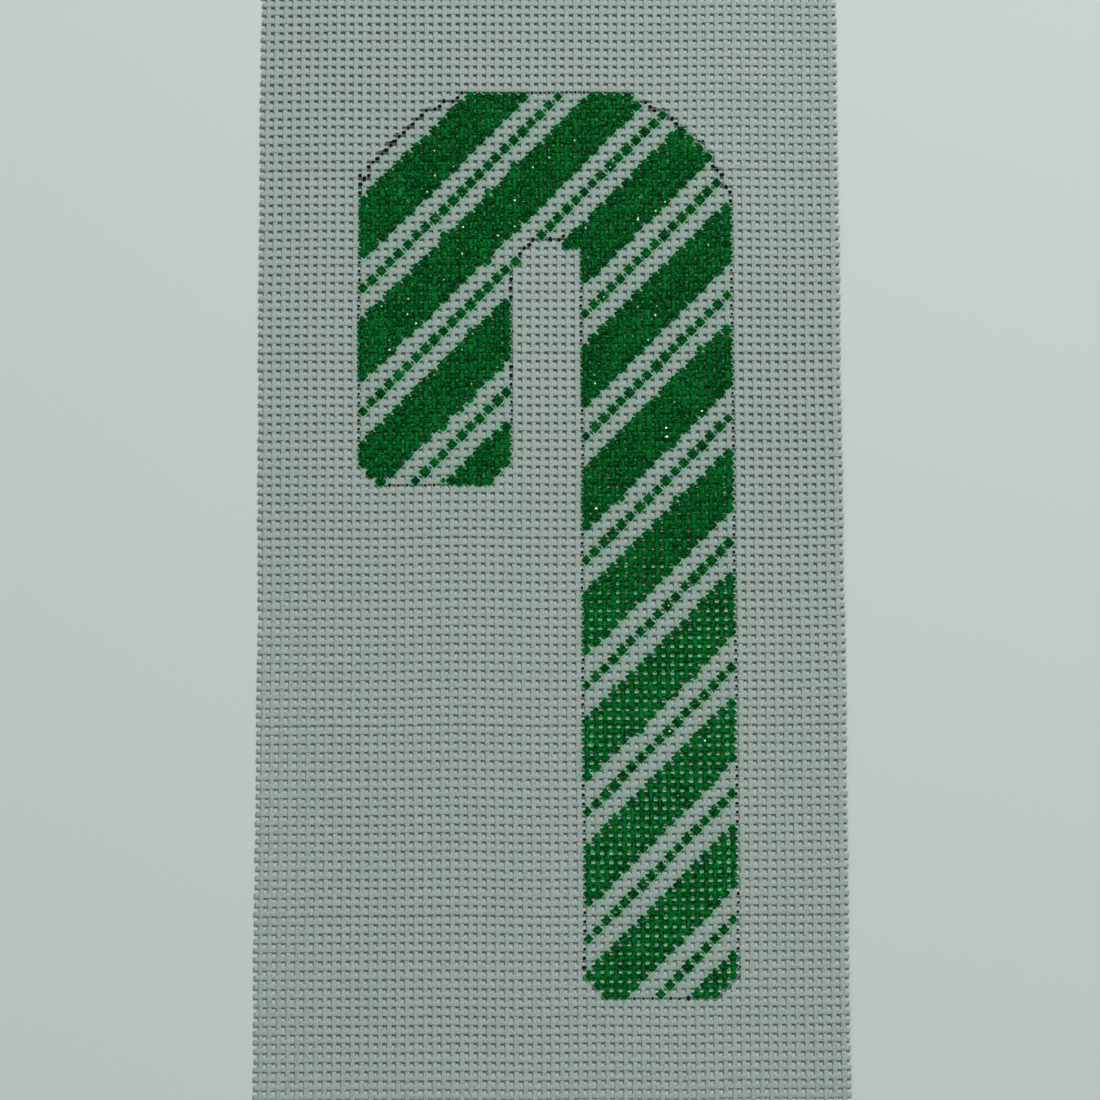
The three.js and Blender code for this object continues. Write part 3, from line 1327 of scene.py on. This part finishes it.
@dataclass
class Weave:
    """The woven threads, in strips from top to bottom.

    Attributes:
        grid: The even grid.
        unevenness: How the real canvas departs from it.
        cane: What is painted on it.
        width: A thread's width, in pitches, for each direction.
        height: A thread's height.
        crimp: How far a thread's middle rises and dips. Crossed threads are pressed together, so
            it is less than half the height.
        squareness: The power that the section's sine and cosine are raised to: 1 for an ellipse,
            and less for a flat-topped section with rounded corners.
        crowding: How much closer together the section's points lie near its top: 1 for evenly
            spaced angles, and more for closer points above and wider ones below.
        painted_swell: How much wider thin paint makes a thread of each direction, as a share.
        heavy_swell: The same for both directions where it was laid on freely.
        paint_edge: The depths in the paint between which a thread gets that wider, in threads.
        painted_highlight_strength: How much of the brush the painted highlight along a thread's
        raised middle takes, for each direction.
        swell: How much wider a thread lies where it passes over another, as a share.
        slub: How much a thread's width varies along its length, as a share.
        scale_spread: How much one thread's width differs from the others', as a share.
        scale_limit: The most that it may differ.
        slow_waves: The least and the most turn of the slow swellings, in radians to a pitch.
        trim: How far a cut end may be out of line, in pitches.
        sides: Faces round a thread.
        steps: Rings to a pitch.
        strips: How many pieces the canvas is made in, from top to bottom.
        seed: Of what is each thread's own.
        finish: How the threads look.
    """

    grid: ThreadGrid
    unevenness: Unevenness
    cane: PaintedCane
    width: dict[Direction, float] = field(
        default_factory=lambda: {Direction.WARP: 0.53, Direction.WEFT: 0.53}
    )
    height: float = 0.3 * MM
    crimp: float = 0.07 * MM
    squareness: float = 0.5
    crowding: float = 1.35
    painted_swell: dict[Direction, float] = field(
        default_factory=lambda: {Direction.WARP: 0.02, Direction.WEFT: 0.22}
    )
    heavy_swell: float = 0.32
    paint_edge: tuple[float, float] = (-0.05, 0.15)
    painted_highlight_strength: dict[Direction, float] = field(
        default_factory=lambda: {Direction.WARP: 1.0, Direction.WEFT: 0.6}
    )
    swell: float = 0.04
    slub: float = 0.06
    scale_spread: float = 0.02
    scale_limit: float = 0.05
    slow_waves: tuple[float, float] = (0.25, 0.9)
    trim: float = 0.06
    sides: int = 8
    steps: int = 4
    strips: int = 6
    seed: int = 41
    finish: ThreadFinish = ThreadFinish()

    def __post_init__(self) -> None:
        """Draws each thread's own width, shade, slow swelling and cut ends."""
        rng = np.random.default_rng(self.seed)
        self._own: dict[Direction, dict[str, np.ndarray]] = {}
        for direction, count in (
            (Direction.WARP, self.grid.warp_threads),
            (Direction.WEFT, self.grid.weft_threads),
        ):
            change = rng.normal(0.0, self.scale_spread, count)
            self._own[direction] = {
                "scale": 1.0 + np.clip(change, -self.scale_limit, self.scale_limit),
                "tint": rng.uniform(-1.0, 1.0, count),
                "wave": rng.uniform(*self.slow_waves, (3, count)),
                "phase": rng.uniform(0.0, TURN, (3, count)),
                "trim": rng.uniform(-self.trim, self.trim, (2, count)),
            }

    @property
    def thickness(self) -> float:
        """The canvas's thickness, from the lowest to the highest thread."""
        return self.height + 2.0 * self.crimp

    def _section(self) -> tuple[np.ndarray, np.ndarray]:
        """The section's points, as shares of half its width and half its height.

        They are the cosine and the sine of angles from the underside round to the top and back,
        each raised to a power with its sign kept, and stretched so that the flat top and sides
        reach 1. The angle from the top is a half turn times an even share, from -1 to 1, raised
        to the power of the crowding with its sign kept. One point lies on the crown's middle.

        Returns:
            The points' places across and up.
        """
        share = 2.0 * np.arange(self.sides) / self.sides - 1.0
        angle = TURN / 4.0 + TURN / 2.0 * np.sign(share) * np.abs(share) ** self.crowding
        across = np.sign(np.cos(angle)) * np.abs(np.cos(angle)) ** self.squareness
        height = np.sign(np.sin(angle)) * np.abs(np.sin(angle)) ** self.squareness
        return across / np.abs(across).max(), height / np.abs(height).max()

    def _path_places(self, low: float, high: float) -> np.ndarray:
        """Where the rings stand along a thread: evenly, and exactly at both ends."""
        inner = np.arange(math.ceil(low * self.steps), math.floor(high * self.steps) + 1) / self.steps
        return np.unique(np.concatenate(([low], inner, [high])))

    def tubes(self, direction: Direction, numbers: np.ndarray, low: float, high: float) -> Tubes:
        """The tubes of some threads of one direction, from one place along them to another.

        A thread's height is the canvas's middle plus or minus a cosine of its way along, with one
        half turn to a pitch, so that it lies over one crossing thread and under the next. Past the
        last crossing it levels out at the middle. Its section is a rounded oblong with a nearly
        flat top. Its width swells with the square of that cosine, with three slow sine waves and
        under the paint.

        Args:
            direction: Warp or weft.
            numbers: Which threads, counted from 0.
            low: Where they start, counted in the threads they cross.
            high: Where they stop.

        Returns:
            The tubes.
        """
        own = self._own[direction]
        first, last = self.grid.ends(direction)
        place = self._path_places(low, high)
        t = np.repeat(place[None, :], len(numbers), axis=0)
        if low == first:
            t[:, 0] += own["trim"][0, numbers]
        if high == last:
            t[:, -1] += own["trim"][1, numbers]
        held = np.clip(t, first + self.grid.end_reach - 0.5, last - self.grid.end_reach + 0.5)
        over = np.cos(math.pi * (held - 0.5 - numbers[:, None]))
        over = over if direction is Direction.WARP else -over
        middle = self.thickness / 2.0 + self.crimp * over

        slow = np.zeros_like(t)
        for wave, phase in zip(own["wave"][:, numbers], own["phase"][:, numbers]):
            slow += np.sin(wave[:, None] * t + phase[:, None]) / 3.0
        scale = own["scale"][numbers, None] * (1.0 + self.slub * slow)
        middles = np.broadcast_to(numbers[:, None] + 0.5, t.shape)
        places = (middles, t) if direction is Direction.WARP else (t, middles)
        painted = smooth_step(self.cane.paint(*places), *self.paint_edge)
        thin_swell = self.painted_swell[direction]
        wider = thin_swell + (self.heavy_swell - thin_swell) * self.cane.heaviness(places[1])
        scale = scale * (1.0 + wider * painted)
        half_width = 0.5 * self.width[direction] * scale * (1.0 + self.swell * np.maximum(over, 0.0) ** 2)
        half_height = self.height / 2.0 * np.minimum(scale, 1.0)

        across_share, height_share = self._section()
        if direction is Direction.WEFT:
            across_share = -across_share  # so that the faces of both sets look outwards
        across = numbers[:, None, None] + 0.5 + half_width[..., None] * across_share
        height = middle[..., None] + half_height[..., None] * height_share
        lengthwise = np.repeat(t[..., None], self.sides, axis=2)
        right, down = (across, lengthwise) if direction is Direction.WARP else (lengthwise, across)
        x, y = self.unevenness.place(right, down)
        z = height + self.unevenness.lift(right, down)
        tint = np.broadcast_to(own["tint"][numbers, None, None], z.shape)
        return Tubes(
            points=np.stack((x, y, z), axis=-1),
            right=right,
            down=down,
            level=height / self.thickness,
            across=np.broadcast_to(across_share, z.shape),
            tint=tint,
            along=t - t[:, :1],
        )

    def strip(self, number: int) -> bpy.types.Object:
        """One strip of the canvas, with its weft threads whole and its warp threads cut level.

        Args:
            number: The strip's number, from 0 at the top.

        Returns:
            Its mesh object.
        """
        each = self.grid.weft_threads // self.strips
        warp_start, warp_stop = self.grid.ends(Direction.WARP)
        low = warp_start if number == 0 else float(number * each)
        high = warp_stop if number == self.strips - 1 else float((number + 1) * each)
        weft = self.tubes(
            Direction.WEFT, np.arange(number * each, (number + 1) * each), *self.grid.ends(Direction.WEFT)
        )
        warp = self.tubes(Direction.WARP, np.arange(self.grid.warp_threads), low, high)
        warps_in_row = 3  # as many cut warp threads as one row of the bake sheet holds
        rows = each + math.ceil(self.grid.warp_threads / warps_in_row)
        mesh = ThreadMesh(f"canvas_strip_{number + 1}", BakeSheet(rows=rows))
        for tubes, direction in ((weft, Direction.WEFT), (warp, Direction.WARP)):
            press = self.cane.press(tubes.right, tubes.down)
            mesh.add(
                tubes,
                {
                    "paint": self.cane.paint(tubes.right, tubes.down),
                    "thick": self.cane.paint_thickness(tubes.right, tubes.down),
                    "pen": np.clip(self.cane.pen(tubes.right, tubes.down), -PEN_FAR, PEN_FAR) / press,
                    "crown": tubes.across / np.sqrt(press),
                    # painted highlight along each thread's raised middle, stronger on the warp
                    "ridge": self.painted_highlight_strength[direction] * (1.0 - tubes.across**2),
                    "level": tubes.level,
                    "tint": tubes.tint,
                },
            )
        return mesh.build()

    def flat_size(self, number: int) -> tuple[float, float]:
        """The size that a strip measures laid flat.

        Args:
            number: The strip's number, from 0 at the top.

        Returns:
            Its width and length in metres.
        """
        start, stop = self.grid.ends(Direction.WEFT)
        each = self.grid.weft_threads // self.strips
        rows = each + (self.grid.end_reach - 0.5) * (number in (0, self.strips - 1))
        return (stop - start) * self.grid.pitch, rows * self.grid.pitch

    def build(self, floor: bpy.types.Object) -> list[bpy.types.Object]:
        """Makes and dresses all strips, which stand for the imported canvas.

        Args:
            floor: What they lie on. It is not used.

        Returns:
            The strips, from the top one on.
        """
        material = self.finish.material()
        strips = []
        for number in range(self.strips):
            strip = self.strip(number)
            dress(strip, material)
            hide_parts(CANVAS_NODE)
            self.flat_size(number)
            strips.append(strip)
        return strips


# ---------------------------------------------------------------------------------------------
# What lies in the paint
# ---------------------------------------------------------------------------------------------


@dataclass
class PaintFilms:
    """Skins of dried paint that close many of the gaps between painted threads.

    Attributes:
        weave: The canvas that they are in.
        name: The piece's name.
        heavy: Whether these are the skins where the bands were painted freely, or the thin ones
            that the gaps elsewhere in the bands have.
        share: How many of those gaps are closed.
        least_depth: How deep in the paint all four crossings round such a gap are, in threads.
        reach: From a skin's middle to its sides, which are inside the threads, in threads.
        level: Its height in the canvas, from 0 at the underside to 1 at the face.
        sag: How far its middle hangs below its rim.
        thickness: Of a skin.
        seed: Of which gaps are closed.
        finish: How the skins look.
    """

    weave: Weave
    name: str = "paint_films"
    heavy: bool = True
    share: float = 0.8
    least_depth: float = 0.3
    reach: float = 0.26
    level: float = 0.5
    sag: float = 0.04 * MM
    thickness: float = 0.03 * MM
    seed: int = 17
    finish: FilmFinish = FilmFinish()

    def _gaps(self) -> tuple[np.ndarray, np.ndarray]:
        """The gaps that are closed, by a draw among those with paint on all four crossings.

        Returns:
            The gaps' middles in warp threads and in weft threads.
        """
        cane = self.weave.cane
        columns = np.arange(1.0, cane.shape.width) + cane.shape.left_line
        rows = np.arange(1.0, cane.shape.height) + cane.shape.top_line
        right, down = (places.ravel() for places in np.meshgrid(columns, rows, indexing="ij"))
        least = np.full(right.shape, np.inf)
        for beside in (-0.5, 0.5):
            for below in (-0.5, 0.5):
                least = np.minimum(least, cane.paint(right + beside, down + below))
        draw = np.random.default_rng(self.seed).random(right.shape)
        chance = cane.heaviness(down) if self.heavy else 1.0 - cane.heaviness(down)
        closed = (least > self.least_depth) & (draw < self.share * chance)
        return right[closed], down[closed]

    def build(self) -> bpy.types.Object:
        """Makes and dresses the mesh of all skins.

        Each is a thin square plate with a point in the middle of both faces, which lies lower than
        the corners by the sag.

        Returns:
            The mesh object, linked to the scene at the origin.
        """
        right, down = self._gaps()
        across = np.array((-1.0, 1.0, 1.0, -1.0, 0.0)) * self.reach
        along = np.array((1.0, 1.0, -1.0, -1.0, 0.0)) * self.reach
        right, down = right[:, None] + across, down[:, None] + along
        x, y = self.weave.unevenness.place(right, down)
        z = self.weave.thickness * self.level + self.weave.unevenness.lift(right, down)
        z[:, 4] -= self.sag
        under = np.stack((x, y, z), axis=-1)
        points = np.stack((under, under + np.array((0.0, 0.0, self.thickness))), axis=1)

        number = np.arange(z.size * 2).reshape(len(z), 2, 5)
        corner, beside = number[:, :, :4], np.roll(number[:, :, :4], -1, axis=2)
        middle = np.broadcast_to(number[:, :, 4:], corner.shape)
        walls = np.stack((corner[:, 0], beside[:, 0], beside[:, 1], corner[:, 1]), axis=-1)
        top = np.stack((corner[:, 1], beside[:, 1], middle[:, 1]), axis=-1)
        bottom = np.stack((beside[:, 0], corner[:, 0], middle[:, 0]), axis=-1)
        faces = walls.reshape(-1, 4).tolist() + top.reshape(-1, 3).tolist()
        piece = piece_from(self.name, points, faces + bottom.reshape(-1, 3).tolist())
        dress(piece, self.finish.material())
        return piece


@dataclass
class Glitter:
    """Small hexagons of foil that are caught in the paint on top of the threads.

    Attributes:
        weave: The canvas that they lie on.
        count: How many there are.
        tries: How many crossings are drawn to find a place for all of them.
        least_depth: How deep in the paint such a place is, in threads.
        stray: How far a fleck may lie from its crossing's middle each way, in threads.
        radius: The smallest and the largest.
        thickness: Of the foil.
        tilt: The most that a fleck leans, in radians.
        seed: Of their places, sizes and turns.
        finish: How they look.
    """

    weave: Weave
    count: int = 75
    tries: int = 4000
    least_depth: float = 0.7
    stray: float = 0.12
    radius: tuple[float, float] = (0.06 * MM, 0.26 * MM)
    thickness: float = 0.04 * MM
    tilt: float = 0.35
    seed: int = 7
    finish: GlitterFinish = GlitterFinish()

    def _places(self, rng: np.random.Generator) -> tuple[np.ndarray, np.ndarray]:
        """Draws crossings, and keeps the first ones that are well inside the paint.

        Args:
            rng: Where they are drawn from.

        Returns:
            Their middles in warp threads and in weft threads.
        """
        shape = self.weave.cane.shape
        right = shape.left_line + np.floor(rng.uniform(0, shape.width, self.tries)) + 0.5
        down = shape.top_line + np.floor(rng.uniform(0, shape.height, self.tries)) + 0.5
        painted = self.weave.cane.paint(right, down) > self.least_depth
        return right[painted][: self.count], down[painted][: self.count]

    def build(self) -> bpy.types.Object:
        """Makes and dresses the mesh of all flecks.

        Each fleck is a six-sided plate: its corners are a circle's points at every sixth of a
        turn, tilted about a random level axis and set down on the top of a crossing, which lies
        at the canvas's full thickness. The square of a random share sets its radius between the
        smallest and the largest, so that most flecks are small.

        Returns:
            The mesh object, linked to the scene at the origin.
        """
        rng = np.random.default_rng(self.seed)
        right, down = self._places(rng)
        count, corners = len(right), 6
        right = right + rng.uniform(-self.stray, self.stray, count)
        down = down + rng.uniform(-self.stray, self.stray, count)
        x, y = self.weave.unevenness.place(right, down)
        z = self.weave.thickness + self.weave.unevenness.lift(right, down)
        middle = np.stack((x, y, z), axis=-1)
        smallest, largest = self.radius
        radius = smallest + (largest - smallest) * rng.random(count)[:, None] ** 2
        spin, lean = rng.uniform(0, TURN, (2, count))[:, :, None]
        angle = TURN * np.arange(corners) / corners + spin
        flat = np.stack((radius * np.cos(angle), radius * np.sin(angle)), axis=-1)
        rise = math.sin(self.tilt) * (flat[..., 0] * np.cos(lean) + flat[..., 1] * np.sin(lean))
        ring = np.concatenate((flat, rise[..., None]), axis=-1) + middle[:, None]
        points = np.stack((ring, ring + np.array((0.0, 0.0, self.thickness))), axis=1)

        number = np.arange(count * 2 * corners).reshape(count, 2, corners)
        beside = np.roll(number, -1, axis=2)
        walls = np.stack((number[:, 0], beside[:, 0], beside[:, 1], number[:, 1]), axis=-1)
        faces = walls.reshape(-1, 4).tolist() + number[:, 0, ::-1].tolist() + number[:, 1].tolist()
        piece = piece_from("glitter_flecks", points, faces)
        dress(piece, self.finish.material())
        return piece


# ---------------------------------------------------------------------------------------------
# The studio
# ---------------------------------------------------------------------------------------------


@dataclass(frozen=True)
class Lamp:
    """A square soft lamp that faces the canvas.

    Attributes:
        name: The lamp's name.
        place: Where it hangs.
        size: Its side.
        power: In watts.
    """

    name: str
    place: tuple[float, float, float]
    size: float
    power: float

    def hang(self) -> None:
        """Puts the lamp into the scene."""
        data = bpy.data.lights.new(self.name, "AREA")
        data.shape = "SQUARE"
        data.size = self.size
        data.energy = self.power
        obj = add_object(self.name, data)
        obj.location = self.place
        obj.rotation_euler = (-Vector(self.place)).to_track_quat("-Z", "Y").to_euler()


@dataclass(frozen=True)
class Studio:
    """The table top, the lamps and the camera.

    Attributes:
        key: The main lamp, beyond the top of the canvas.
        fill: A large dim one before it.
        sky: Colour of the pale surroundings.
        sky_strength: Their brightness.
        floor_size: Side of the table top.
        focal: The lens's focal length in millimetres, for a film 36 mm wide.
        aim: The point that the camera looks at.
        distance: From there to the camera.
        lean: The camera's tilt from straight above towards -Y.
        side_lean: Its tilt towards +X.
        roll: Its turn about its own line of sight, anticlockwise.
    """

    key: Lamp = Lamp("key", place=(0.4, 0.88, 1.28), size=0.65, power=26.0)
    fill: Lamp = Lamp("fill", place=(-0.7, -1.2, 0.95), size=1.0, power=5.0)
    sky: Color = (0.93, 0.97, 1.0, 1.0)
    sky_strength: float = 0.205
    floor_size: float = 6.0
    focal: float = 109.97
    aim: tuple[float, float, float] = (-0.0002, -0.0024, 0.0006)
    distance: float = 0.7334
    lean: float = math.radians(7.054)
    side_lean: float = math.radians(-0.513)
    roll: float = math.radians(-0.2)

    def floor(self) -> bpy.types.Object:
        """Lays the table top at the height that the canvas rests on.

        Returns:
            The table top.
        """
        half = self.floor_size / 2.0
        corners = [(-half, -half, 0.0), (half, -half, 0.0), (half, half, 0.0), (-half, half, 0.0)]
        obj = piece_from("floor", np.array(corners), [(0, 1, 2, 3)])
        obj.data.materials.append(FloorFinish().material())
        return obj

    def camera(self) -> bpy.types.Object:
        """Sets up the camera and makes it the scene's own.

        It looks along the line from its place to the aim. Its right is level before the roll.

        Returns:
            The camera.
        """
        data = bpy.data.cameras.new("camera")
        data.sensor_width = 36.0
        data.lens = self.focal
        data.clip_start, data.clip_end = 0.01, 20.0
        level = math.cos(self.side_lean)
        back = Vector(
            (math.sin(self.side_lean), -math.sin(self.lean) * level, math.cos(self.lean) * level)
        )
        right = Vector((0.0, 1.0, 0.0)).cross(back).normalized()
        up = back.cross(right)
        axes = Matrix((right, up, back)).transposed().to_4x4()
        place = Matrix.Translation(Vector(self.aim) + back * self.distance)
        obj = add_object("camera", data)
        obj.matrix_world = place @ axes @ Matrix.Rotation(self.roll, 4, "Z")
        bpy.context.scene.camera = obj
        return obj

    def lights(self) -> None:
        """Hangs both lamps and sets the pale surroundings and plain, unchanged colours."""
        self.key.hang()
        self.fill.hang()
        world = bpy.data.worlds.new("studio")
        world.use_nodes = True
        background = world.node_tree.nodes["Background"]
        background.inputs["Color"].default_value = self.sky
        background.inputs["Strength"].default_value = self.sky_strength
        bpy.context.scene.world = world
        bpy.context.scene.view_settings.view_transform = "Standard"
        bpy.context.scene.view_settings.look = "None"


# ---------------------------------------------------------------------------------------------
# The whole scene
# ---------------------------------------------------------------------------------------------


def main() -> None:
    """Builds the studio, the woven canvas, and the paint skins and glitter in it."""
    logging.basicConfig(level=logging.INFO, format="%(message)s")
    studio = Studio()
    studio.camera()
    floor = studio.floor()
    studio.lights()

    grid = ThreadGrid.from_cad()
    weave = Weave(grid=grid, unevenness=Unevenness(grid), cane=PaintedCane())
    pale = FilmFinish("thin_paint_film", thin=(0.25, 0.51, 0.33, 1.0), thick=(0.12, 0.36, 0.2, 1.0))
    thin_films = PaintFilms(
        weave, "thin_paint_films", heavy=False, share=0.95, level=0.33, sag=0.33 * MM, finish=pale
    )
    pieces = weave.build(floor)
    for part in (PaintFilms(weave), thin_films, Glitter(weave)):
        pieces.append(part.build())
    for piece in pieces:
        LOG.info("%s: %d faces", piece.name, len(piece.data.polygons))


if __name__ == "__main__":
    main()
